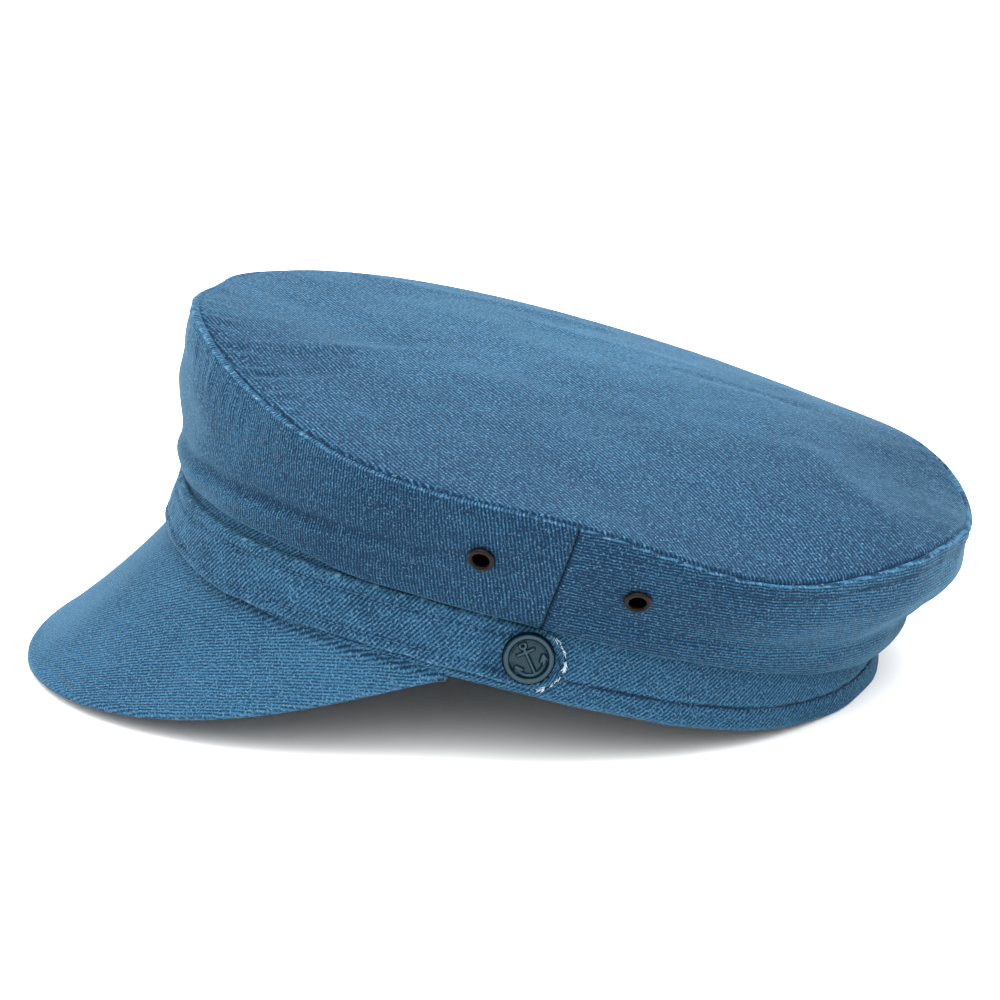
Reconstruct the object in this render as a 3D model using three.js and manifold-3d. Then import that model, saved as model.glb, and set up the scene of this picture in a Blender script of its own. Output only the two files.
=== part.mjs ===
// A Breton fisherman cap of denim twill, resting by itself on a surface.
// Millimetres and degrees. +Z is up, the peak points towards -Y, and the wearer's left is +X.
// Every piece is drawn level, in the band's own plane, and the whole cap is then tipped to its rest.
// An angle goes round the head from 0 at the front, over 90 at the left, to 180 at the rear.

import * as THREE from 'three';
import { mergeVertices } from 'three/addons/utils/BufferGeometryUtils.js';
import Module from 'manifold-3d';

const wasm = await Module();
wasm.setup();

// Head band
const bandFront = 102.7;
const bandRear = 101.4;
const bandSide = 87.1;
const bandHeight = 16;
const bandCloth = 2.2;
const bandPressed = 0.6;

// Crown: where the wall leaves the band, and the seam round the top
const rootFront = 100.7;
const rootRear = 98.3;
const rootSide = 85;
const seamFront = 110;
const seamRear = 115;
const seamSide = 101.3;
const seamShift = 2.2;
const seamSquareness = 1.9;
const wallHeight = 39.2;
const wallCloth = 2;
const wallRoll = 2.6;
const wallBulge = 2.6;
const wallFold = 3;
const wallSlitAngle = 89.2;
const seamRidge = 1;
const topCloth = 2;
const topDome = 5.9;
const topDomeShape = 0.76;
const topFold = 3;

// Mock chin strap
const strapWidth = 16.4;
const strapCloth = 1.7;
const strapPastButton = 10.6;
const strapTip = 0.18;

// Peak
const peakLength = 59.1;
const peakBoard = 2.8;
const peakInset = 1.5;
const peakSlope = 54.7;
const peakSideSlope = 19.6;
const peakSpread = 76.7;
const peakEnd = 1.2;
const peakDip = 2;
const peakFan = 0.7;
const peakOutline = 1.77;
const peakTaper = 1.19;

// Buttons
const buttonDiameter = 14.8;
const buttonThickness = 2.6;
const buttonRim = 1;
const buttonEdge = 0.6;
const buttonDish = 0.7;
const buttonStandOff = 0.55;
const buttonShank = 3.4;
const buttonAngle = 88.4;
const buttonDrop = 7.6;
const anchorHeight = 8.6;
const anchorRelief = 0.6;
const anchorStroke = 1.1;
const anchorTurn = 24;

// Vent eyelets
const eyeletFlange = 8;
const eyeletBore = 4.4;
const eyeletTube = 5.6;
const eyeletLip = 0.9;
const eyeletStandOff = 0.6;
const eyeletClench = 1.1;
const eyeletFrontAngle = 77.4;
const eyeletRearAngle = 100.6;
const eyeletRise = 22.6;

// Space left between pieces that meet
const gap = 0.3;

// Rise of an edge as it goes round the cap: shares of the height named with each table
const BAND_EDGE_WAVES = [
  { waves: 2, rise: -0.035 },
  { waves: 3, rise: -0.07 },
  { waves: 4, rise: 0.076 },
];
const ROOT_WAVES = [
  { waves: 1, rise: 0.131 },
  { waves: 2, rise: -0.279 },
  { waves: 3, rise: -0.041 },
  { waves: 4, rise: 0.027 },
];
const SEAM_WAVES = [
  { waves: 1, rise: 0.102 },
  { waves: 2, rise: 0.05 },
  { waves: 3, rise: -0.015 },
  { waves: 4, rise: 0.052 },
];

// Where the soft seam rises, sags, spreads or draws in: rise is a share of wallHeight, spread a
// share of the way out from the middle, and wide the half width of the place in degrees
const SEAM_PULLS = [
  { name: 'front left corner', angle: 12, wide: 14, rise: 0.08, spread: 0.014 },
  { name: 'left brow', angle: 35, wide: 16, rise: -0.003, spread: -0.006 },
  { name: 'left front side', angle: 60, wide: 16, rise: -0.022, spread: 0.013 },
  { name: 'left side seam', angle: 88, wide: 12, rise: 0.025, spread: -0.002 },
  { name: 'left rear sag', angle: 118, wide: 15, rise: -0.077, spread: 0.006 },
  { name: 'left rear corner', angle: 155, wide: 16, rise: 0.023, spread: -0.005 },
  { name: 'rear', angle: 180, wide: 20, rise: -0.135, spread: -0.014 },
  { name: 'right rear corner', angle: -155, wide: 18, rise: 0.073, spread: -0.02 },
  { name: 'right rear side', angle: -125, wide: 22, rise: 0.006, spread: 0.01 },
  { name: 'right side sag', angle: -90, wide: 30, rise: -0.103, spread: -0.012 },
  { name: 'right front side', angle: -45, wide: 25, rise: 0.038, spread: 0.013 },
  { name: 'front right corner', angle: -15, wide: 16, rise: 0.008, spread: -0.016 },
];

// The wall's section from its root to its top: up is a share of the wall, out of wallBulge
const WALL_SECTION = [
  { name: 'root', up: 0, out: 0 },
  { name: 'roll over the band', up: 0.1, out: 0.5 },
  { name: 'lower wall', up: 0.3, out: 0.55 },
  { name: 'middle', up: 0.5, out: 0.85 },
  { name: 'upper wall', up: 0.75, out: 1 },
  { name: 'under the seam', up: 0.92, out: 0.8 },
  { name: 'top', up: 1, out: 0 },
];

// Folds of the wall: deep is a share of wallFold, inward below zero, and lean the fold's climb
// along the wall, in shares of the wall for each degree
const WALL_FOLDS = [
  { name: 'front dent', angle: 6, wide: 36, up: 0.32, tall: 0.13, lean: 0.0105, deep: -0.4 },
  { name: 'front bulge', angle: -4, wide: 26, up: 0.55, tall: 0.1, lean: 0.006, deep: 0.3 },
  { name: 'rear bend', angle: 180, wide: 60, up: 0.31, tall: 0.08, lean: 0, deep: -0.6 },
  { name: 'rear slack', angle: 182, wide: 54, up: 0.7, tall: 0.22, lean: 0, deep: 1.4 },
  { name: 'left rear crease', angle: 138, wide: 18, up: 0.3, tall: 0.09, lean: 0.006, deep: -0.4 },
  { name: 'right rear crease', angle: -138, wide: 20, up: 0.34, tall: 0.1, lean: -0.005, deep: -0.4 },
];

// Hollows and swells of the crown's top: along and across are shares of its half length and width
const TOP_FOLDS = [
  { name: 'hollow behind the front', along: -0.62, across: 0, long: 0.25, broad: 0.6, high: -1 },
  { name: 'rear swell', along: 0.5, across: 0, long: 0.3, broad: 0.6, high: 1.05 },
  { name: 'long crease', along: -0.35, across: 0.12, long: 0.5, broad: 0.07, high: 0.14 },
];

// Bars of the button's anchor, in shares of half its height from the button's middle
const ANCHOR_BARS = [
  { name: 'shank', from: [0, -1], to: [0, 0.6] },
  { name: 'stock', from: [-0.5, 0.4], to: [0.5, 0.4] },
  { name: 'left arm', from: [0, -1], to: [-0.6, -0.7] },
  { name: 'left fluke', from: [-0.6, -0.7], to: [-0.9, -0.15] },
  { name: 'right arm', from: [0, -1], to: [0.6, -0.7] },
  { name: 'right fluke', from: [0.6, -0.7], to: [0.9, -0.15] },
];
const anchorRing = { middle: 0.85, radius: 0.2 };

// Steps of the meshes
const halfSteps = 36;
const wallRows = 8;
const topRings = 5;
const strapSteps = 40;
const strapRows = 3;
const peakSteps = 34;
const peakRows = 5;
const buttonSides = 20;
const eyeletSides = 14;
const tipTries = 40;
const steepestTip = 45;

const radians = THREE.MathUtils.degToRad;
const cos = (angle) => Math.cos(radians(angle));
const sin = (angle) => Math.sin(radians(angle));
const fullTurn = 360;

// Ovals and edges

function bentPower(value, squareness) {
  return Math.sign(value) * Math.abs(value) ** (2 / squareness);
}

function ovalPoint(angle, front, rear, side, squareness = 2) {
  const length = cos(angle) > 0 ? front : rear;
  const x = side * bentPower(sin(angle), squareness);
  const y = -length * bentPower(cos(angle), squareness);
  return new THREE.Vector3(x, y, 0);
}

function wavesAt(angle, table) {
  return table.reduce((sum, row) => sum + row.rise * cos(row.waves * angle), 0);
}

// How far an angle is from a place that a table names, the short way round
function turnFrom(angle, place) {
  return THREE.MathUtils.euclideanModulo(angle - place + fullTurn / 2, fullTurn) - fullTurn / 2;
}

function bell(distance, width) {
  return Math.exp(-((distance / width) ** 2));
}

// Level direction straight out from the band's oval
function outward(angle) {
  const along = cos(angle) > 0 ? bandFront : bandRear;
  return new THREE.Vector3(sin(angle) / bandSide, -cos(angle) / along, 0).normalize();
}

function bandBottom(angle) {
  const point = ovalPoint(angle, bandFront, bandRear, bandSide);
  point.z = bandHeight * wavesAt(angle, BAND_EDGE_WAVES);
  return point;
}

function bandTop(angle) {
  const point = ovalPoint(angle, rootFront, rootRear, rootSide);
  point.z = bandHeight * (1 + wavesAt(angle, ROOT_WAVES));
  return point;
}

function seam(angle) {
  const pulled = (column) => SEAM_PULLS.reduce((sum, row) => (
    sum + row[column] * bell(turnFrom(angle, row.angle), row.wide)), 0);
  const point = ovalPoint(angle, seamFront, seamRear, seamSide, seamSquareness);
  point.multiplyScalar(1 + pulled('spread'));
  point.y += seamShift;
  point.z = bandHeight + wallHeight * (1 + wavesAt(angle, SEAM_WAVES) + pulled('rise'));
  return point;
}

// Crown top: its height over a point that lies a share of the way out from the middle

function topPoint(angle, share) {
  const point = seam(angle);
  const waves = SEAM_WAVES.map((row) => ({ ...row, rise: row.rise * share ** row.waves }));
  const atEdge = point.z - bandHeight - wallHeight * (1 + wavesAt(angle, SEAM_WAVES));
  const x = point.x * share;
  const y = seamShift + (point.y - seamShift) * share;
  const dome = topDome * (1 - share ** 2) ** topDomeShape;
  const fade = 1 - share ** 4;
  const folds = TOP_FOLDS.reduce((sum, row) => (
    sum + row.high * bell(y / seamRear - row.along, row.long)
      * bell(x / seamSide - row.across, row.broad)), 0);
  const level = bandHeight + wallHeight * (1 + wavesAt(angle, waves));
  return new THREE.Vector3(x, y, level + atEdge * share ** 3 + dome + topFold * folds * fade);
}

// The share of the way out that lies so many millimetres inside the seam
function shareInside(angle, inset) {
  return 1 - inset / seam(angle).setZ(0).distanceTo(new THREE.Vector3(0, seamShift, 0));
}

// Crown wall: its outer face, from its root (share 0) to just under the top (share 1)

function wallTop(angle, inset) {
  const point = topPoint(angle, shareInside(angle, inset));
  point.z -= topCloth + gap;
  return point;
}

function sectionOut(up) {
  const next = Math.max(1, WALL_SECTION.findIndex((row) => row.up >= up));
  const low = WALL_SECTION[next - 1];
  const high = WALL_SECTION[next];
  return THREE.MathUtils.lerp(low.out, high.out, (up - low.up) / (high.up - low.up));
}

function foldOut(angle, up) {
  const ends = 4 * up * (1 - up);
  return ends * WALL_FOLDS.reduce((sum, row) => {
    const turn = turnFrom(angle, row.angle);
    const level = up - row.up - row.lean * turn;
    return sum + row.deep * bell(turn, row.wide) * bell(level, row.tall);
  }, 0);
}

function wallOuter(angle, up) {
  const root = bandTop(angle);
  root.z += gap;
  const point = root.lerp(wallTop(angle, seamRidge), up);
  const out = wallRoll * (1 - up) + wallBulge * sectionOut(up) + wallFold * foldOut(angle, up);
  return point.addScaledVector(outward(angle), out);
}

function wallInner(angle, up) {
  if (up === 1) return wallTop(angle, seamRidge + wallCloth);
  if (up === 0) {
    return bandTop(angle).addScaledVector(outward(angle), -wallCloth).setZ(bandTop(angle).z + gap);
  }
  return wallOuter(angle, up).addScaledVector(outward(angle), -wallCloth);
}

// Meshes from sections: a section is a closed loop of points, the outer face first, then the inner

function geometryFrom(points, triangles) {
  const geometry = new THREE.BufferGeometry();
  const positions = points.flatMap((point) => point.toArray());
  geometry.setAttribute('position', new THREE.Float32BufferAttribute(positions, 3));
  geometry.setIndex(triangles);
  return geometry;
}

function loft(sections, closed) {
  const size = sections[0].length;
  const count = sections.length;
  const at = (section, place) => (section % count) * size + (place % size);
  const triangles = [];
  for (let s = 0; s < (closed ? count : count - 1); s += 1) {
    for (let p = 0; p < size; p += 1) {
      triangles.push(at(s, p), at(s + 1, p), at(s + 1, p + 1));
      triangles.push(at(s, p), at(s + 1, p + 1), at(s, p + 1));
    }
  }
  if (!closed) {
    for (let p = 0; p < size / 2 - 1; p += 1) {
      const across = size - 1 - p;
      triangles.push(at(0, p), at(0, p + 1), at(0, across - 1));
      triangles.push(at(0, p), at(0, across - 1), at(0, across));
      triangles.push(at(count - 1, p + 1), at(count - 1, p), at(count - 1, across - 1));
      triangles.push(at(count - 1, p), at(count - 1, across), at(count - 1, across - 1));
    }
  }
  return geometryFrom(sections.flat(), triangles);
}

// A closed loop for one section from two faces that are functions of a share from 0 to 1
function sectionLoop(outer, inner, rows) {
  const shares = Array.from({ length: rows }, (_, row) => row / (rows - 1));
  return [...shares.map(outer), ...shares.toReversed().map(inner)];
}

function anglesBetween(first, last, steps) {
  return Array.from({ length: steps + 1 }, (_, step) => THREE.MathUtils.lerp(first, last, step / steps));
}

// The angles at which every piece that goes all the way round has its sections
function roundAngles() {
  const front = anglesBetween(-wallSlitAngle, wallSlitAngle, halfSteps);
  const rear = anglesBetween(wallSlitAngle, fullTurn - wallSlitAngle, halfSteps);
  return [...front, ...rear.slice(1, -1)];
}

// Solids for cuts and joins

function solidOf(geometry) {
  const bare = geometry.clone();
  bare.deleteAttribute('normal');
  bare.deleteAttribute('uv');
  const merged = mergeVertices(bare, 1e-4);
  return new wasm.Manifold(new wasm.Mesh({
    numProp: 3,
    vertProperties: new Float32Array(merged.attributes.position.array),
    triVerts: new Uint32Array(merged.index.array),
  }));
}

function geometryOf(solid) {
  const mesh = solid.getMesh();
  const geometry = new THREE.BufferGeometry();
  geometry.setAttribute('position', new THREE.BufferAttribute(mesh.vertProperties, 3));
  geometry.setIndex(new THREE.BufferAttribute(mesh.triVerts, 1));
  return geometry;
}

// Frame that stands on a surface: x runs along it, y up it and z straight out of it
function frameOn(surface, angle, up) {
  const step = 0.01;
  const centre = surface(angle, up);
  const along = surface(angle + 1, up).sub(surface(angle - 1, up)).normalize();
  const rise = surface(angle, up + step).sub(surface(angle, up - step));
  const out = new THREE.Vector3().crossVectors(along, rise).normalize();
  const across = new THREE.Vector3().crossVectors(out, along);
  return new THREE.Matrix4().makeBasis(along, across, out).setPosition(centre);
}

function drillAt(frame, diameter, depth, sides) {
  const drill = new THREE.CylinderGeometry(diameter / 2, diameter / 2, depth, sides);
  drill.rotateX(Math.PI / 2);
  return solidOf(drill.applyMatrix4(frame));
}

// Rest: the cap stands on the rear of its band and on the tip of its peak

// The peak's face at an angle: share runs from its root to its edge, depth down from its top face
function peakFace(angle, share, depth) {
  const side = Math.abs(angle / peakSpread);
  const length = peakEnd + (peakLength - peakEnd) * (1 - side ** peakOutline) ** peakTaper;
  const slope = peakSlope + peakSideSlope * side ** 2;
  const ahead = new THREE.Vector3(0, peakFan - 1, 0);
  const heading = outward(angle).multiplyScalar(peakFan).add(ahead).normalize();
  const run = heading.clone().multiplyScalar(cos(slope)).setZ(-sin(slope));
  const normal = heading.clone().multiplyScalar(sin(slope)).setZ(cos(slope));
  const point = ovalPoint(angle, bandFront - peakInset, bandRear, bandSide);
  point.z = bandBottom(angle).z - gap;
  const dip = peakDip * 4 * share * (1 - share) * (length / peakLength);
  point.addScaledVector(run, share * length).addScaledVector(normal, -dip);
  if (share === 0) return point.addScaledVector(heading, -depth / sin(slope));
  return point.addScaledVector(normal, -depth);
}

function heightWhenTipped(point, tip) {
  return point.z * cos(tip) - point.y * sin(tip);
}

function lowest(points, tip) {
  return Math.min(...points.map((point) => heightWhenTipped(point, tip)));
}

function restingTip() {
  const rear = roundAngles().map(bandBottom);
  const edge = anglesBetween(-peakSpread, peakSpread, peakSteps).map((angle) => (
    peakFace(angle, 1, peakBoard)));
  let low = 0;
  let high = steepestTip;
  for (let tried = 0; tried < tipTries; tried += 1) {
    const middle = (low + high) / 2;
    if (lowest(edge, middle) < lowest(rear, middle) + bandPressed) low = middle;
    else high = middle;
  }
  return (low + high) / 2;
}

const tip = restingTip();
const lift = -lowest(roundAngles().map(bandBottom), tip) - bandPressed;

// Cloth that would reach below the floor is flattened on it
function pressed(point) {
  const floor = (point.y * sin(tip) - lift) / cos(tip);
  return point.setZ(Math.max(point.z, floor));
}

// Pieces

function crownTop() {
  const insets = [seamRidge + wallCloth, seamRidge, 0];
  const rings = [
    ...Array.from({ length: topRings }, (_, ring) => () => ((ring + 1) / (topRings + 0.5)) ** 0.8),
    ...insets.map((inset) => (angle) => shareInside(angle, inset)),
  ];
  const angles = roundAngles();
  const topSteps = angles.length;
  const points = [topPoint(0, 0), topPoint(0, 0).add(new THREE.Vector3(0, 0, -topCloth))];
  const at = (face, ring, step) => (
    2 + (face * rings.length + ring) * topSteps + (step % topSteps));
  for (const drop of [0, topCloth]) {
    for (const ring of rings) {
      for (const angle of angles) {
        const point = topPoint(angle, ring(angle));
        point.z -= drop;
        points.push(point);
      }
    }
  }
  const triangles = [];
  const rim = rings.length - 1;
  const quad = (a, b, c, d) => triangles.push(a, b, c, a, c, d);
  for (let step = 0; step < topSteps; step += 1) {
    triangles.push(0, at(0, 0, step), at(0, 0, step + 1));
    triangles.push(1, at(1, 0, step + 1), at(1, 0, step));
    for (let ring = 0; ring < rim; ring += 1) {
      quad(at(0, ring, step), at(0, ring + 1, step), at(0, ring + 1, step + 1), at(0, ring, step + 1));
      quad(at(1, ring, step), at(1, ring, step + 1), at(1, ring + 1, step + 1), at(1, ring + 1, step));
    }
    quad(at(0, rim, step), at(1, rim, step), at(1, rim, step + 1), at(0, rim, step + 1));
  }
  return geometryFrom(points, triangles);
}

function eyeletFrame(angle) {
  return frameOn(wallOuter, angle, eyeletRise / wallHeight);
}

function wallPanel(first, last, eyeletAngles) {
  const halfGap = THREE.MathUtils.radToDeg(gap / 2 / bandFront);
  const sections = anglesBetween(first + halfGap, last - halfGap, halfSteps).map((angle) => (
    sectionLoop((up) => wallOuter(angle, up), (up) => wallInner(angle, up), wallRows)));
  const depth = 2 * (wallCloth + wallRoll + wallFold);
  const holes = eyeletAngles.map((angle) => (
    drillAt(eyeletFrame(angle), eyeletTube + 2 * gap, depth, eyeletSides)));
  return geometryOf(holes.reduce((panel, hole) => panel.subtract(hole), solidOf(loft(sections, false))));
}

function headBand() {
  const sections = roundAngles().map((angle) => {
    const outer = (up) => pressed(bandBottom(angle).lerp(bandTop(angle), up));
    const inner = (up) => pressed(
      bandBottom(angle).lerp(bandTop(angle), up).addScaledVector(outward(angle), -bandCloth));
    return sectionLoop(outer, inner, 3);
  });
  return loft(sections, true);
}

// Strap: its outer face at an angle, from its lower edge (share 0) to its upper edge (share 1)

function strapEnd() {
  return buttonAngle + THREE.MathUtils.radToDeg(strapPastButton / bandFront);
}

function strapLimits(angle) {
  const top = bandTop(angle).z;
  const bottom = Math.max(top - strapWidth, bandBottom(angle).z + gap);
  const past = radians(Math.abs(angle) - strapEnd()) * bandFront + strapWidth / 2;
  if (past <= 0) return { bottom, top };
  const half = (top - bottom) / 2;
  const round = half * Math.sqrt(Math.max(strapTip ** 2, 1 - (past / (strapWidth / 2)) ** 2));
  return { bottom: top - half - round, top: top - half + round };
}

function bandFace(angle, height, out) {
  const low = bandBottom(angle);
  const high = bandTop(angle);
  const point = low.clone().lerp(high, (height - low.z) / (high.z - low.z));
  return point.addScaledVector(outward(angle), out);
}

function strapFace(angle, share, out) {
  const { bottom, top } = strapLimits(angle);
  return bandFace(angle, THREE.MathUtils.lerp(bottom, top, share), out);
}

function buttonFrame(angle) {
  const height = bandTop(angle).z - buttonDrop;
  const surface = (turn, share) => bandFace(turn, height + share, gap + strapCloth);
  return frameOn(surface, angle, 0);
}

function strap() {
  // The sections crowd together where the strap's ends are rounded
  const sections = anglesBetween(-1, 1, strapSteps).map((way) => (
    strapEnd() * way * (1.5 - 0.5 * way ** 2))).map((angle) => sectionLoop(
    (share) => strapFace(angle, share, gap + strapCloth),
    (share) => strapFace(angle, share, gap),
    strapRows,
  ));
  const holes = [buttonAngle, -buttonAngle].map((angle) => (
    drillAt(buttonFrame(angle), buttonShank + 2 * gap, 3 * strapCloth, buttonSides)));
  return geometryOf(holes.reduce((piece, hole) => piece.subtract(hole), solidOf(loft(sections, false))));
}

function peak() {
  const sections = anglesBetween(-peakSpread, peakSpread, peakSteps).map((angle) => sectionLoop(
    (share) => peakFace(angle, 1 - share, 0),
    (share) => peakFace(angle, 1 - share, peakBoard),
    peakRows,
  ));
  return loft(sections, false);
}

// The raised anchor, sunk by half its bars into the button's face at this height
function anchor(base) {
  const half = anchorHeight / 2;
  const thick = 2 * anchorRelief;
  const bars = ANCHOR_BARS.map((row) => {
    const from = new THREE.Vector2(...row.from).multiplyScalar(half);
    const along = new THREE.Vector2(...row.to).multiplyScalar(half).sub(from);
    const bar = new THREE.BoxGeometry(along.length() + anchorStroke, anchorStroke, thick);
    bar.rotateZ(along.angle());
    bar.translate(from.x + along.x / 2, from.y + along.y / 2, base);
    return solidOf(bar);
  });
  const ring = new THREE.TorusGeometry(anchorRing.radius * half, anchorStroke / 2, 6, 12);
  ring.translate(0, anchorRing.middle * half, base);
  return [...bars, solidOf(ring)].reduce((whole, bar) => whole.add(bar));
}

// A turned piece from a profile of [radius, height] pairs, standing along z
function turned(profile, sides) {
  const body = new THREE.LatheGeometry(profile.map(([x, y]) => new THREE.Vector2(x, y)), sides);
  body.rotateX(Math.PI / 2);
  return solidOf(body);
}

function buttonShape() {
  const rim = buttonDiameter / 2;
  const shank = buttonShank / 2;
  const back = buttonStandOff;
  const front = back + buttonThickness;
  const face = front - buttonDish;
  const dish = rim - buttonRim - buttonEdge;
  const body = turned([
    [0, -strapCloth],
    [shank, -strapCloth],
    [shank, back],
    [rim - buttonEdge, back],
    [rim, back + buttonEdge],
    [rim, front - buttonEdge],
    [rim - buttonEdge, front],
    [dish + buttonEdge, front],
    [dish, face],
    [0, face],
  ], buttonSides);
  return body.add(anchor(face));
}

function eyeletShape() {
  const rim = eyeletFlange / 2;
  const bore = eyeletBore / 2;
  const tube = eyeletTube / 2;
  const out = eyeletStandOff;
  const inside = -wallCloth - eyeletClench;
  const bevel = eyeletLip / 3;
  return turned([
    [bore, inside - eyeletLip],
    [rim, inside - eyeletLip],
    [rim, inside],
    [tube, inside],
    [tube, out],
    [rim, out],
    [rim - bevel, out + eyeletLip],
    [bore + bevel, out + eyeletLip],
    [bore, out + eyeletLip - bevel],
    [bore, inside - eyeletLip],
  ], eyeletSides);
}

// Finishes

const twill = { color: 0x3f6f97, roughness: 0.92, metalness: 0 };
const lacquer = { color: 0x1e3a4c, roughness: 0.35, metalness: 0.5 };
const blackened = { color: 0x1b1a1c, roughness: 0.4, metalness: 0.8 };

function piece(name, geometry, finish) {
  const faceted = geometry.toNonIndexed();
  faceted.computeVertexNormals();
  const mesh = new THREE.Mesh(faceted, new THREE.MeshStandardMaterial(finish));
  mesh.name = name;
  return mesh;
}

function placed(mesh, frame) {
  frame.decompose(mesh.position, mesh.quaternion, mesh.scale);
  return mesh;
}

const drawnLevel = new THREE.Group();
drawnLevel.add(
  piece('crown_top', crownTop(), twill),
  piece('wall_front', wallPanel(-wallSlitAngle, wallSlitAngle, [eyeletFrontAngle, -eyeletFrontAngle]), twill),
  piece('wall_rear', wallPanel(wallSlitAngle, fullTurn - wallSlitAngle,
    [eyeletRearAngle, fullTurn - eyeletRearAngle]), twill),
  piece('head_band', headBand(), twill),
  piece('strap', strap(), twill),
  piece('peak', peak(), twill),
);
for (const [name, side] of [['left', 1], ['right', -1]]) {
  const leaning = new THREE.Matrix4().makeRotationZ(radians(anchorTurn));
  const button = piece(`button_${name}`, geometryOf(buttonShape()), lacquer);
  drawnLevel.add(placed(button, buttonFrame(side * buttonAngle).multiply(leaning)));
  for (const [place, angle] of [['front', eyeletFrontAngle], ['rear', eyeletRearAngle]]) {
    const eyelet = piece(`eyelet_${name}_${place}`, geometryOf(eyeletShape()), blackened);
    drawnLevel.add(placed(eyelet, eyeletFrame(side * angle)));
  }
}

drawnLevel.rotation.x = -radians(tip);
const cap = new THREE.Group();
cap.name = 'breton_fisherman_cap';
cap.add(drawnLevel);
cap.updateMatrixWorld(true);
const reach = new THREE.Box3().setFromObject(drawnLevel, true).getCenter(new THREE.Vector3());
drawnLevel.position.set(-reach.x, -reach.y, lift);
cap.updateMatrixWorld(true);

export default cap;
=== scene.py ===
# A Breton fisherman cap of denim twill, dressed for its picture.
# Millimetres and degrees until a mesh is made. Every piece is drawn level, in the band's own plane,
# and then tipped to its rest. An angle goes round the head from 0 at the front, over 90 at the
# wearer's left, to 180 at the rear. +Z is up, the peak points towards -Y, and the left is +X.
# A piece's wear is above 0 where the cloth is rubbed pale or painted lighter to stand in for light, and
# below 0 where its dye is darker or painted darker to stand in for shade.

import math

import bpy
import numpy as np
from mathutils import Matrix, Vector


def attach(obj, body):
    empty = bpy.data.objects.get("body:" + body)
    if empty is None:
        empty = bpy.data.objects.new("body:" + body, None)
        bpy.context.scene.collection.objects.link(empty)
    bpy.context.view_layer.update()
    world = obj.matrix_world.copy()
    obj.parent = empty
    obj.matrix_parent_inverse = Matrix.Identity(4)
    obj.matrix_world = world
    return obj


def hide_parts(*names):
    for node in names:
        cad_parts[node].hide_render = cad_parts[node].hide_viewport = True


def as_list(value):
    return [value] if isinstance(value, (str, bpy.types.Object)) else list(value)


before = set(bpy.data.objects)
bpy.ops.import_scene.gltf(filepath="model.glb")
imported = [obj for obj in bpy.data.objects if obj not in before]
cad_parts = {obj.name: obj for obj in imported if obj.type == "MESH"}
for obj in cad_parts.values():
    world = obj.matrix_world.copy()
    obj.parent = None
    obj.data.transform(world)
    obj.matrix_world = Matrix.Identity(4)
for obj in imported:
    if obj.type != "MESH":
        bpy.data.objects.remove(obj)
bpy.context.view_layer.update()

# How the level cap is tipped and moved to its rest
TIP = 12.72
MOVE = np.array([-0.473, 9.605, 20.074])
UP = np.array([0.0, 0.0, 1.0])

# Head band
BAND_FRONT = 102.7
BAND_REAR = 101.4
BAND_SIDE = 87.1
BAND_HEIGHT = 16
BAND_CLOTH = 2.2
BAND_HEM = 6.5
BAND_UNDER_WALL = 2.4
BAND_PITCH = 4.4

# Crown: where the wall leaves the band, and the seam round the top
ROOT_FRONT = 100.7
ROOT_REAR = 98.3
ROOT_SIDE = 85
SEAM_FRONT = 110
SEAM_REAR = 115
SEAM_SIDE = 101.3
SEAM_SHIFT = 2.2
SEAM_SQUARENESS = 1.9
WALL_HEIGHT = 39.2
WALL_CLOTH = 1.9
WALL_ROLL = 2.6
WALL_BULGE = 2.6
WALL_FOLD = 3
WALL_SLIT_ANGLE = 89.2
SEAM_RIDGE = 1
TOP_CLOTH = 2
TOP_DOME = 5.9
TOP_DOME_SHAPE = 0.76
TOP_FOLD = 3

# The seam's turned allowance, which shows as a raised strip under the seam
WELT_WIDTH = 2.5
WELT_RISE = 0.35
RIDGE_RISE = 0.4
SEAM_GROOVE = 0.6
SEAM_SETBACK = 0.95

# The wall's lower edge: how far it turns in, and how far it stands up across the front
WALL_LIP = 1.1
WALL_FRONT_LIFT = 3.2

# The share of the way up where the wall begins to turn into the seam
WALL_TURN_IN = 0.88

# Mock chin strap
STRAP_WIDTH = 16.4
STRAP_CLOTH = 1.7
STRAP_PAST_BUTTON = 9.7
STRAP_TIP = 0.18
STRAP_EDGE = 0.9
STRAP_PITCH = 2.3
STRAP_STITCH_LOW = 3.1
STRAP_STITCH_HIGH = 3.7

# Peak
PEAK_LENGTH = 59.1
PEAK_BOARD = 2.8
PEAK_INSET = 1.5
PEAK_SLOPE = 54.7
PEAK_SIDE_SLOPE = 19.6
PEAK_SPREAD = 76.7
PEAK_END = 1.2
PEAK_DIP = 2
PEAK_FAN = 0.7
PEAK_OUTLINE = 1.77
PEAK_TAPER = 1.19
PEAK_TUCK = 1.4

# Buttons
BUTTON_DIAMETER = 14.2
BUTTON_THICKNESS = 2.6
BUTTON_RIM = 1.1
BUTTON_DISH = 0.7
BUTTON_STAND_OFF = 0.55
BUTTON_ANGLE = 88.4
BUTTON_DROP = 7.6
ANCHOR_HEIGHT = 9.4
ANCHOR_RELIEF = 0.75
ANCHOR_STROKE = 1.0
ANCHOR_TURN = 38
BUTTON_SIDES = 220
BUTTON_RINGS = 84

# The button's back, from its rim to the end of its stem: (radius, height)
BUTTON_BACK = [
    (7.1, 2.3), (7.1, 1.2), (6.9, 0.8), (6.6, 0.55), (2, 0.5), (1.7, 0.3), (1.7, -1.5), (0.02, -1.5),
]

# Vent eyelets
EYELET_FLANGE = 8
EYELET_BORE = 4.4
EYELET_LIP = 0.9
EYELET_STAND_OFF = 0.6
EYELET_CLENCH = 1.1
EYELET_FRONT_ANGLE = 77.4
EYELET_REAR_ANGLE = 100.6
EYELET_RISE = 22.6
EYELET_CUT = 2.9
EYELET_SIDES = 96

# Room left between pieces that lie on each other
GAP = 0.3

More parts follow.
